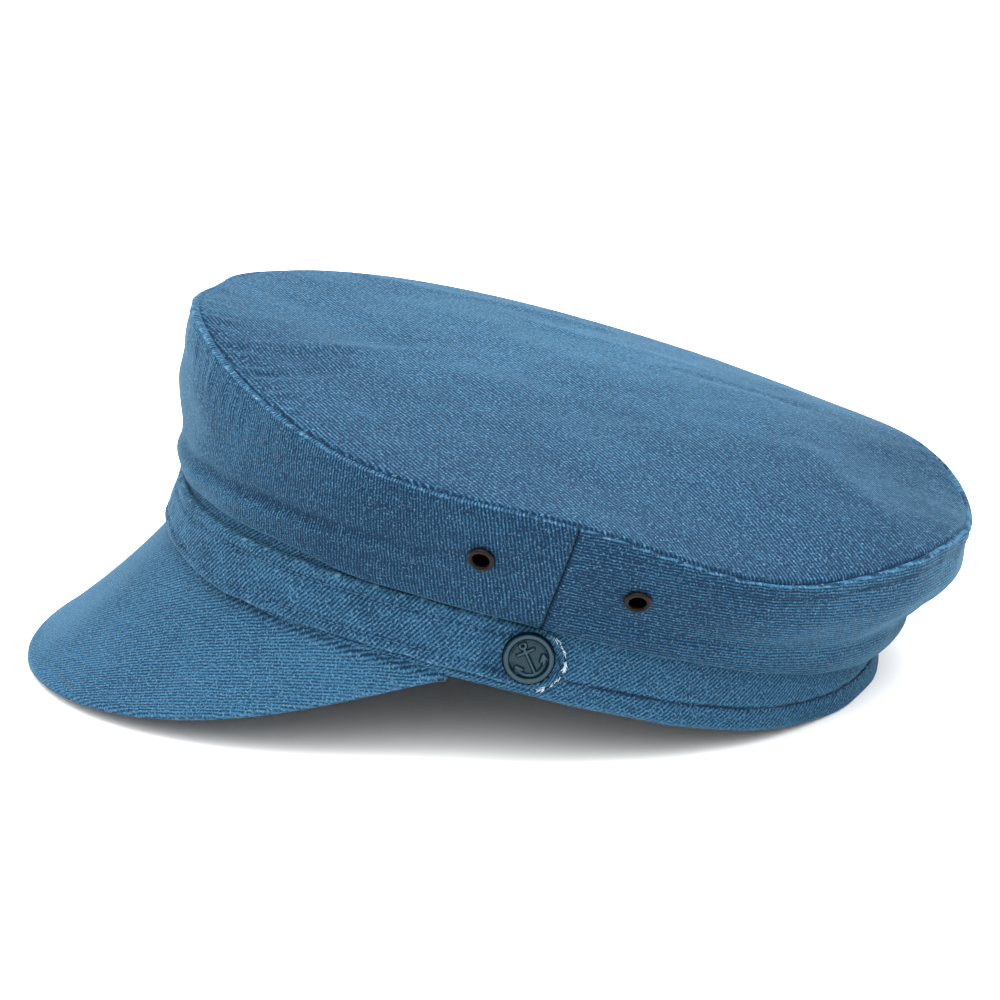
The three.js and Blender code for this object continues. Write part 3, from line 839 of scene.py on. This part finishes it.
def wall_panel(name, node, first, last, rib, eyelets, shift):
    angles = columns_between(first, last)
    up = np.concatenate([np.linspace(0, 0.08, 11), np.linspace(0.08, WALL_TURN_IN, 36)[1:],
                         1 - (1 - WALL_TURN_IN) * np.linspace(1, 0, 26)[1:] ** 1.5])[None, :]
    arc = along_edge(angles, SEAM_ARC)
    aside = np.abs(turn_from(angles, 0))
    foot, full = 0 * up, 1 + 0 * up
    head = wall_outer(angles, full)
    tall = np.linalg.norm(head - wall_outer(angles, foot), axis=-1)
    outer = wall_outer(angles, up)
    ridge = top_point(angles, full) - UP * 0.1
    outer = outer + (ridge - head) * column(ease(WALL_TURN_IN, 1, up))
    outer[..., 2] += front_lift(angles) * (1 - ease(0, 0.35, up))
    below = (1 - up) * tall
    above = up * tall
    from_slit = np.minimum(arc - arc[0], arc[-1] - arc)
    welt = WELT_RISE * (1 - ease(WELT_WIDTH - 0.4, WELT_WIDTH + 0.4, below))
    uneven = 1 + 0.15 * ripple(arc, 0, 9, 21)
    ridge_roll = RIDGE_RISE * bell(below - 0.5, 0.32) - 0.6 * bell(below, 0.26)
    gather = ripple(arc, below * 0.2, 5, 26) * bell(below - 6, 5) * bell(turn_from(angles, 30), 16)
    out = welt * uneven + ridge_roll + 0.1 * ripple(arc, below * 0.25, 8, 22) * bell(below - 4, 4)
    out = out + 0.3 * ripple(arc, above, 38, 23) + 0.12 * ripple(arc * 0.5, above, 14, 24) + 0.25 * gather
    out = out + fold_out(angles, up, WALL_WRINKLES) - WALL_LIP * bell(above, 0.6)
    out = out - 1.5 * bell(from_slit, 0.4) + 0.22 * bell(from_slit - 1.6, 1.2)
    outer = outer + outward(angles) * column(out)
    inner = outer - outward(angles) * WALL_CLOTH
    inner[..., 2] -= 0.9 * bell(below, 1.5)
    cut = np.zeros((len(angles) - 1, up.shape[1] - 1), bool)
    middles = (outer[:-1, :-1] + outer[1:, 1:]) / 2
    for angle in eyelets:
        along, across, _, centre = frame_on(wall_outer, angle, EYELET_RISE / WALL_HEIGHT)
        offset = middles - centre
        cut |= np.hypot(offset @ along, offset @ across) < EYELET_CUT
    lean = smooth_table(aside, WALL_LEAN) if first < 0 else 0
    beads = (0.62 + 0.42 * ripple(arc, 0, 1.7, 27)) * (1 - 0.4 * ease(100, 150, aside))
    # Painted shade: the wall is coloured darker than the top, most at its sides near 80 degrees and a
    # quarter as much at the front and rear
    painted_shade = WALL_PAINTED_SHADE * (1 - 0.75 * ease(20, 60, np.abs(aside - 80)))
    # Pale rubbed beads along the seam ridge. Painted shading along the wrinkles: darker in their hollows,
    # lighter on their swells
    wear_and_painted_shading = beads * bell(below - 0.42, 0.21) - painted_shade + 0.25 * fold_out(angles, up, WALL_WRINKLES)
    # Painted shadow: a dark line under the seam's welt at the rear
    wear_and_painted_shading = wear_and_painted_shading - bell(aside - 145, 30) * bell(below - WELT_WIDTH - 0.2, 0.4)
    # The lower edge a little paler where rubbed; painted shade darkens the side seam's groove
    wear_and_painted_shading = wear_and_painted_shading + 0.05 * bell(above, 1.0) - bell(from_slit, 0.36)
    cloth = turned_cloth(arc, above + 2.2 * ease(WALL_TURN_IN, 1, up), rib, shift, lean)
    piece = shell(name, outer, inner, cloth, wear_and_painted_shading, cut=cut)
    return dress(piece, [node])


# Head band


def head_band():
    angles = np.linspace(0, 360, BAND_STEPS, endpoint=False)[:, None]
    rows = np.linspace(0, 1, BAND_ROWS)[None, :]
    low, high = band_bottom(angles)[..., 2], band_top(angles)[..., 2]
    above = rows * (high - low + BAND_UNDER_WALL + front_lift(angles))
    arc = along_edge(angles, BAND_ARC)
    behind = ease(strap_end() - 3, strap_end() + 1, np.abs(turn_from(angles, 0)))
    groove = bell(above - BAND_HEM, 0.45)
    hole = bell((arc / BAND_PITCH) % 1 - 0.5, 0.1) * groove
    hem = 0.32 * bell(above - BAND_HEM / 2, BAND_HEM / 2.2)
    soft = ripple(arc, above, 24, 31)
    fine = ripple(arc, above, 7, 32) * bell(above - BAND_HEM, 4)
    out = 0.2 * soft + 0.1 * fine + behind * (hem - 0.4 * groove - 0.5 * hole)
    out = out - bell(above, 0.7)
    outer = band_face(angles, low + above, out)
    inner = band_face(angles, low + above, out - BAND_CLOTH)
    cloth = turned_cloth(arc, above, RIB_BAND, 900) * BAND_YARN
    # Rubbed pale along the lower edge; the band is painted a little lighter overall for the light it gets
    wear_and_painted_shading = 0.45 * bell(above - 0.7, 0.8) - BAND_PAINTED_SHADE
    # Behind the strap, paler beside the stitching; painted shade darkens the stitch groove and the needle
    # holes
    wear_and_painted_shading = wear_and_painted_shading + behind * (0.2 * bell(above - BAND_HEM - 1.3, 0.6) - 0.1 * groove - 1.2 * hole)
    under_strap = strap_limits(turn_from(angles, 0))[0] - low
    # Painted shadow at the front: darker along the band's lower edge at the peak and just under the strap's
    # lower edge
    wear_and_painted_shading = wear_and_painted_shading - 0.8 * (1 - behind) * (bell(above, 0.7) + bell(above - under_strap + 0.2, 0.45))
    piece = shell("twill_head_band", outer, inner, cloth, wear_and_painted_shading, 4, True)
    return dress(piece, ["head_band"])


# Strap


def strap_end():
    return BUTTON_ANGLE + math.degrees(STRAP_PAST_BUTTON / BAND_FRONT)


def strap_limits(angle):
    top = band_top(angle)[..., 2]
    bottom = np.maximum(top - STRAP_WIDTH, band_bottom(angle)[..., 2] + GAP)
    past = np.radians(np.abs(angle) - strap_end()) * BAND_FRONT + STRAP_WIDTH / 2
    half = (top - bottom) / 2
    short = np.sqrt(np.maximum(STRAP_TIP**2, 1 - (np.maximum(past, 0) / (STRAP_WIDTH / 2)) ** 2))
    return top - half - half * short, top - half + half * short


def strap():
    way = np.linspace(-1, 1, STRAP_STEPS)[:, None]
    angles = strap_end() * way * (1.5 - 0.5 * way**2)
    rows = np.linspace(0, 1, STRAP_ROWS)[None, :]
    share = rows - crowding(rows, 0.1)
    bottom, top = strap_limits(angles)
    arc = along_edge(angles, BAND_ARC)
    height = lerp(bottom, top, share)
    above, below = height - bottom, top - height
    height = height + 0.16 * ripple(arc, 0, 11, 41) * bell(np.minimum(above, below), 1.5)
    edge = np.minimum(above, below)
    lines = bell(above - STRAP_STITCH_LOW, 0.5) + bell(below - STRAP_STITCH_HIGH, 0.5)
    holes = lines * bell((arc / STRAP_PITCH) % 1 - 0.5, 0.16)
    stitched = 0.28 * lines + 0.3 * holes
    soft = ripple(arc, above, 19, 42)
    fine = ripple(arc, above, 6, 43)
    body = STRAP_EDGE * (1 - bell(edge, 0.6)) - STRAP_EDGE
    out = GAP + STRAP_CLOTH + body - stitched + 0.14 * soft + 0.07 * fine + 0.15 * bell(edge - 1.7, 1.2)
    outer = band_face(angles, height, out)
    inner = band_face(angles, height, 0 * out + GAP)
    cloth = turned_cloth(arc, above, RIB_STRAP, 1300)
    speck = 0.55 + 0.45 * ripple(arc, 0, 3.2, 44)
    wear_and_painted_shading = 0.7 * bell(edge - 0.5, 0.6) * speck + 0.12 * ripple(arc, above, 9, 45)
    # Painted shade: the strap a touch darker for its shade, and darker along its stitch lines and in the
    # needle holes
    wear_and_painted_shading = wear_and_painted_shading - STRAP_PAINTED_SHADE - 0.25 * lines - 0.5 * holes
    piece = shell("twill_strap", outer, inner, cloth, wear_and_painted_shading, 5, lined=False)
    return dress(piece, ["strap"])


# Peak


def peak_length(angle):
    side = np.abs(angle / PEAK_SPREAD)
    return PEAK_END + (PEAK_LENGTH - PEAK_END) * np.maximum(1 - side**PEAK_OUTLINE, 0) ** PEAK_TAPER


def peak_face(angle, share, depth):
    """The peak's upper face, a share of the way from its root to its rim, and depth below it."""
    length = peak_length(angle)
    slope = PEAK_SLOPE + PEAK_SIDE_SLOPE * np.abs(angle / PEAK_SPREAD) ** 2
    heading = outward(angle) * PEAK_FAN + np.array([0, PEAK_FAN - 1, 0])
    heading = heading / np.linalg.norm(heading, axis=-1, keepdims=True)
    run = heading * column(cos(slope)) - UP * column(sin(slope))
    normal = heading * column(sin(slope)) + UP * column(cos(slope))
    start = oval(angle, BAND_FRONT - PEAK_INSET, BAND_REAR, BAND_SIDE)
    start[..., 2] = band_bottom(angle)[..., 2] - GAP
    dip = PEAK_DIP * 4 * share * (1 - share) * (length / PEAK_LENGTH)
    return start + run * column(share * length) - normal * column(dip + depth)


def unrolled(root, edge):
    """The peak laid flat: where the ends of its straight cross lines come to lie, column by column."""
    def placed_from(first, second, reach, other_reach, side):
        apart = np.linalg.norm(second - first)
        ahead = (second - first) / apart
        along = (reach**2 - other_reach**2 + apart**2) / (2 * apart)
        aside = math.sqrt(max(reach**2 - along**2, 0)) * side
        return first + ahead * along + np.array([-ahead[1], ahead[0]]) * aside

    count = len(root)
    middle = count // 2
    low, high = np.zeros((count, 2)), np.zeros((count, 2))
    high[middle, 1] = np.linalg.norm(edge[middle] - root[middle])
    for side, numbers in ((-1, range(middle + 1, count)), (1, range(middle - 1, -1, -1))):
        for new in numbers:
            old = new + side
            pairs = ((root, root, old), (root, edge, old), (edge, root, new), (edge, edge, old))
            reach = [np.linalg.norm(first[new] - second[other]) for first, second, other in pairs]
            low[new] = placed_from(low[old], high[old], reach[0], reach[1], side)
            high[new] = placed_from(low[new], high[old], reach[2], reach[3], side)
    return low, high


def peak():
    angles = np.linspace(-PEAK_SPREAD, PEAK_SPREAD, PEAK_STEPS)[:, None]
    rows = np.linspace(0, 1, PEAK_ROWS)[None, :]
    share = 1 - rows + crowding(rows, 0.06)
    length = peak_length(angles)
    from_root = share * length
    to_edge = (1 - share) * length
    round_edge = 1.2 * bell(to_edge, 0.8)
    flat = peak_face(angles, share, 0)
    tucked = UP * PEAK_TUCK * column(1 - ease(0, 2.2, from_root))
    soft = ripple(flat[..., 0], flat[..., 1], 30, 51) * 0.12 * ease(0, 8, to_edge)
    fold = 0.18 * bell(to_edge - 2.6, 1.3)
    outer = peak_face(angles, share, round_edge - soft - fold) + tucked
    inner = peak_face(angles, share, PEAK_BOARD - round_edge * 0.9)
    root, edge = (peak_face(angles[:, 0], place + 0 * angles[:, 0], 0) for place in (0, 1))
    low, high = unrolled(root, edge)
    laid = lerp(low[:, None], high[:, None], share[..., None])
    cloth = turned_cloth(laid[..., 0], laid[..., 1], RIB_PEAK, 1700) * PEAK_YARN
    # The rim rubbed pale; painted light makes the peak a little lighter overall and more towards its sides
    wear_and_painted_shading = 0.3 * bell(to_edge - 0.6, 0.9) + 0.06 + 0.16 * ease(25, 60, np.abs(angles))
    # Painted shadow at the root, under the strap's lower edge
    wear_and_painted_shading = wear_and_painted_shading - 0.6 * bell(from_root - 0.8, 0.55)
    piece = shell("twill_peak", outer, inner, cloth, wear_and_painted_shading, 2, lined=False)
    return dress(piece, ["peak"])


# Threads: stitches that dip into the cloth at both ends, and the frayed end of the strap


def thread_piece(name, threads, paint, sides):
    """Round threads, each given as its spine, the way out of the cloth and its half widths."""
    turns = np.linspace(0, math.tau, sides, endpoint=False)
    corners, faces, cloth = [], [], []
    for spine, out, width in threads:
        ahead = np.gradient(spine, axis=0)
        ahead = ahead / np.linalg.norm(ahead, axis=1, keepdims=True)
        ring = np.cos(turns)[:, None, None] * np.cross(ahead, out) + np.sin(turns)[:, None, None] * out
        made = sum(len(part) for part in corners) * len(spine)
        at = np.arange(sides * len(spine)).reshape(sides, -1) + made
        at = np.vstack([at, at[:1]])
        corners.append(spine + ring * column(width))
        faces += grid_faces(at, True).tolist() + [at[:-1, 0].tolist(), at[:-1, -1][::-1].tolist()]
        along = np.linalg.norm(np.diff(spine, axis=0), axis=1).cumsum()
        cloth.append(np.stack(np.broadcast_arrays(np.append(0, along), turns[:, None] * 0.3), -1))
    piece = make_piece(name, to_rest(np.stack(corners)), faces, paint, np.stack(cloth))
    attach(piece, "root")
    return piece


def stitches(name, surface, reach, pitch, length, thick, paint):
    """A run of stitches. surface(place, out) gives the point at a distance along the line."""
    shares = np.linspace(-1, 1, 9)
    rise = thick * (0.1 - 0.55 * shares**4)
    width = thick / 2 * (1 - 0.6 * np.abs(shares) ** 3)
    threads = []
    for place in np.arange(np.ceil(reach[0] / pitch), np.floor(reach[1] / pitch)) * pitch:
        along = place + shares * length / 2
        spine = surface(along, rise)
        threads.append((spine, surface(along, rise + 1) - spine, width))
    return thread_piece(name, threads, paint, 8)


def angle_at(arc_place, arc):
    return np.interp(arc_place, arc[1], arc[0])


def band_stitches():
    def line(place, out):
        angle = angle_at(place, BAND_ARC)
        return band_face(angle, band_bottom(angle)[..., 2] + BAND_HEM, out - 0.18)

    reach = along_edge(np.array([strap_end() + 0.4, 359.6 - strap_end()]), BAND_ARC)
    stitches("band_stitches", line, reach, BAND_PITCH, 3.5, 0.62, navy_thread)


def strap_stitches():
    reach = along_edge(np.array([-BUTTON_ANGLE + 6, BUTTON_ANGLE - 6]), BAND_ARC)
    for name, low in (("strap_stitches_low", True), ("strap_stitches_high", False)):
        def line(place, out):
            angle = angle_at(place, BAND_ARC)
            bottom, top = strap_limits(angle)
            height = bottom + STRAP_STITCH_LOW if low else top - STRAP_STITCH_HIGH
            return band_face(angle, height, out + GAP + STRAP_CLOTH - 0.3)

        stitches(name, line, reach, STRAP_PITCH, 1.9, 0.42, blue_thread)


# Where the strap's round end has frayed: (turn from its tip, spread, threads, length)
FRAYED_PLACES = [
    (52, 22, 8, 1.3),
    (28, 16, 7, 1.2),
    (4, 7, 22, 1.5),
    (-30, 16, 9, 1.3),
    (-62, 7, 14, 1.1),
]


def frayed_tip():
    random = np.random.default_rng(7)
    shares = np.linspace(0, 1, 8)
    radius = STRAP_WIDTH / 2
    start = along_edge(BUTTON_ANGLE, BAND_ARC) + STRAP_PAST_BUTTON - radius
    threads = []
    for side in (1, -1):
        for turn, spread, count, length in FRAYED_PLACES:
            for _ in range(count):
                first = turn + random.uniform(-spread, spread)
                way = first - shares * np.degrees(length * random.uniform(0.5, 1) / radius)
                reach = radius + random.uniform(-0.45, 0.3) + shares * random.uniform(-0.5, 0.7)
                angle = side * angle_at(start + reach * cos(way), BAND_ARC)
                height = band_top(angle)[..., 2] - radius + reach * sin(way)
                out = 1.3 + random.uniform(0, 0.6) + 0.5 * np.sin(shares * 3) * random.uniform(0, 1)
                threads.append((band_face(angle, height, out), outward(angle), 0.11 * (1 - 0.6 * shares)))
    return thread_piece("frayed_tip", threads, frayed_cotton, 6)


# Buttons: a turned body whose face carries a raised anchor


def anchor_distance(x, y):
    """Distance outside the anchor's lines, which are in shares of half its height."""
    half = ANCHOR_HEIGHT / 2
    x, y = x / half, y / half
    ring = np.abs(np.hypot(x, y - 0.84) - 0.17)
    shank = bar_distance(x, y, (0, -0.9), (0, 0.66))
    stock = bar_distance(x, y, (-0.48, 0.42), (0.48, 0.42))
    round_arms = np.abs(np.hypot(x, y + 0.12) - 0.82)
    arms = np.where(y < -0.3, round_arms, 9)
    either_side = np.abs(x)
    ends = np.hypot(either_side - 0.8, y + 0.3)
    barb_in = bar_distance(either_side, y, (0.83, -0.12), (0.58, -0.4))
    barb_out = bar_distance(either_side, y, (0.83, -0.12), (0.95, -0.42))
    return np.minimum.reduce([ring, shank, stock, arms, ends, barb_in, barb_out]) * half


def button_height(radius, x, y):
    rim = BUTTON_DIAMETER / 2
    front = BUTTON_STAND_OFF + BUTTON_THICKNESS
    from_rim = np.abs(radius - (rim - BUTTON_RIM))
    face = front - BUTTON_DISH + BUTTON_DISH * (1 - ease(0.35, 1.15, from_rim))
    ledge = 0.16 * bell(radius - (rim - 2.6), 0.22)
    relief = ANCHOR_RELIEF * (1 - ease(0.2, ANCHOR_STROKE * 0.72, anchor_distance(x, y)))
    outer_roll = 0.5 * ease(rim - 0.7, rim, radius) ** 2
    return face + ledge + relief * ease(rim - 1.9, rim - 2.5, radius) - outer_roll


def button(name, node, angle):
    def surface(turn, share):
        height = band_top(turn)[..., 2] - BUTTON_DROP
        return band_face(turn, height + share, GAP + STRAP_CLOTH)

    turns = np.linspace(0, 360, BUTTON_SIDES, endpoint=False)[:, None]
    radius = np.linspace(0.02, 1, BUTTON_RINGS)[None, :] * BUTTON_DIAMETER / 2
    x, y = radius * cos(turns), radius * sin(turns)
    lean_x = x * cos(ANCHOR_TURN) + y * sin(ANCHOR_TURN)
    lean_y = y * cos(ANCHOR_TURN) - x * sin(ANCHOR_TURN)
    face = point(x, y, button_height(radius, lean_x, lean_y))
    corners = np.concatenate([face, turned(BUTTON_BACK, turns[:, 0])], 1)
    axes = frame_on(surface, angle, 0)
    count = corners.shape[1]
    at = np.arange(BUTTON_SIDES * count).reshape(BUTTON_SIDES, count)
    ring = np.vstack([at, at[:1]])
    faces = grid_faces(ring, True).tolist() + [at[:, 0].tolist(), at[:, -1][::-1].tolist()]
    wear_and_painted_shading = np.zeros((BUTTON_SIDES, count))
    near = anchor_distance(lean_x, lean_y)
    rim = bell(radius - (BUTTON_DIAMETER / 2 - BUTTON_RIM), 0.4)
    # Paler on the anchor's lines and the rim: partly rubbed lacquer, partly a painted highlight
    wear_and_painted_shading[:, :BUTTON_RINGS] = 0.7 * bell(near, 0.45) + 0.8 * rim
    piece = make_piece(name, to_rest(placed(corners, axes)), faces, lacquer, corners[..., :2], wear_and_painted_shading)
    return dress(piece, [node])


# Eyelets: a rolled flange outside, a tube through the wall and a clenched flange inside


def eyelet(name, node, angle):
    rim, bore = EYELET_FLANGE / 2 - 0.25, EYELET_BORE / 2
    outside, inside = EYELET_STAND_OFF, -WALL_CLOTH - EYELET_CLENCH
    middle, half = (rim + bore) / 2, (rim - bore) / 2
    roll = [(middle + half * math.cos(turn), outside + EYELET_LIP * math.sin(turn) ** 0.8)
            for turn in np.linspace(0, math.pi, 22)[1:-1]]
    profile = [(2.8, outside - 0.2), (rim - 0.3, outside - 0.25), (rim, outside - 0.05), *roll]
    profile += [(bore, outside), (bore, inside - 0.3), (bore + 0.2, inside - EYELET_LIP)]
    profile += [(rim - 0.3, inside - EYELET_LIP), (rim, inside - 0.4), (rim - 0.4, inside), (2.8, inside)]
    turns = np.linspace(0, 360, EYELET_SIDES, endpoint=False)
    corners = turned(profile, turns)
    at = np.arange(EYELET_SIDES * len(profile)).reshape(EYELET_SIDES, len(profile))
    at = np.hstack([at, at[:, :1]])
    at = np.vstack([at, at[:1]])
    axes = frame_on(wall_outer, angle, EYELET_RISE / WALL_HEIGHT)
    wear_and_painted_shading = np.zeros((EYELET_SIDES, len(profile)))
    outer_half_of_roll = slice(3, 14)
    wear_and_painted_shading[:, outer_half_of_roll] = 0.6
    faces = grid_faces(at).tolist()
    piece = make_piece(name, to_rest(placed(corners, axes)), faces, gunmetal, corners[..., :2], wear_and_painted_shading)
    return dress(piece, [node])


# The dressed pieces

top_piece = crown_top()
front_piece = wall_panel("twill_wall_front", "wall_front", -WALL_SLIT_ANGLE, WALL_SLIT_ANGLE,
                         RIB_WALL_FRONT, [EYELET_FRONT_ANGLE, -EYELET_FRONT_ANGLE], 100)
rear_piece = wall_panel("twill_wall_rear", "wall_rear", WALL_SLIT_ANGLE, 360 - WALL_SLIT_ANGLE,
                        RIB_WALL_REAR, [EYELET_REAR_ANGLE, 360 - EYELET_REAR_ANGLE], 700)
band_piece = head_band()
strap_piece = strap()
peak_piece = peak()
band_stitches()
strap_stitches()
frayed_tip()
for side_name, side in (("left", 1), ("right", -1)):
    button(f"stamped_button_{side_name}", f"button_{side_name}", side * BUTTON_ANGLE)
    for place, eyelet_angle in (("front", EYELET_FRONT_ANGLE), ("rear", EYELET_REAR_ANGLE)):
        eyelet(f"rolled_eyelet_{side_name}_{place}", f"eyelet_{side_name}_{place}", side * eyelet_angle)

# Floor, light and camera


def floor():
    corners = np.array([[-6, -6, 0], [6, -6, 0], [6, 6, 0], [-6, 6, 0]], float)
    paint = Paint("pale_floor", Base_Color=rgb(0.9, 0.9, 0.9), Roughness=0.9, Specular_IOR_Level=0.1)
    ground = make_piece("floor", corners, [(0, 1, 2, 3)], paint.material)
    just_below = -0.0001
    ground.location.z = just_below


def overhead_light(strength, spread, lean):
    """One wide soft light from above. lean is how far it comes from the front and from the left."""
    light = bpy.data.lights.new("overhead", "SUN")
    light.energy = strength
    light.angle = math.radians(spread)
    lamp = new_object("overhead", light)
    lamp.rotation_euler = (math.radians(lean[0]), math.radians(lean[1]), 0)


def studio():
    world = bpy.data.worlds.new("studio")
    bpy.context.scene.world = world
    world.use_nodes = True
    nodes, links = world.node_tree.nodes, world.node_tree.links
    background = nodes["Background"]
    background.inputs["Color"].default_value = rgb(1, 1, 1)
    direction = nodes.new("ShaderNodeTexCoord")
    height = nodes.new("ShaderNodeSeparateXYZ")
    glow = nodes.new("ShaderNodeMapRange")
    links.new(direction.outputs["Generated"], height.inputs[0])
    links.new(height.outputs["Z"], glow.inputs["Value"])
    glow.inputs["To Min"].default_value = HORIZON_GLOW
    glow.inputs["To Max"].default_value = ZENITH_GLOW
    links.new(glow.outputs[0], background.inputs["Strength"])
    overhead_light(strength=1.6, spread=50, lean=(0, 6))
    bpy.context.scene.view_settings.view_transform = "Standard"


def camera():
    rise = math.radians(CAMERA_RISE)
    to_eye = Vector((math.cos(rise), 0, math.sin(rise)))
    right = Vector((0, 1, 0))
    up = to_eye.cross(right)
    target = Vector(CAMERA_TARGET) / 1000
    back = (to_eye + CAMERA_ASIDE * right + CAMERA_ABOVE * up).normalized()
    across = up.cross(back).normalized()
    rotation = Matrix((across, back.cross(across), back)).transposed()
    lens = bpy.data.cameras.new("camera")
    lens.sensor_width = SENSOR_WIDTH
    lens.lens = SENSOR_WIDTH * LENS_TO_SENSOR
    eye = new_object("camera", lens)
    eye.matrix_world = Matrix.Translation(target + to_eye * CAMERA_DISTANCE) @ rotation.to_4x4()
    bpy.context.scene.camera = eye


floor()
studio()
camera()

# The cloth pieces with the size each was cut to, in a table that the loop below only walks through: (piece,
# width, length, flat area, how held, on what)

SHEETS = [
    (top_piece, 0.21, 0.232, 0.0378, "stretched", [front_piece, rear_piece]),
    (front_piece, 0.335, 0.053, 0.0148, "stretched", [band_piece]),
    (rear_piece, 0.345, 0.05, 0.0148, "stretched", [band_piece]),
    (band_piece, 0.6, 0.0265, 0.0131, "stretched", []),
    (strap_piece, 0.32, 0.019, 0.0055, "stretched", [band_piece]),
]
for sheet_piece, width, length, area, held, rests in SHEETS:
    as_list(rests)
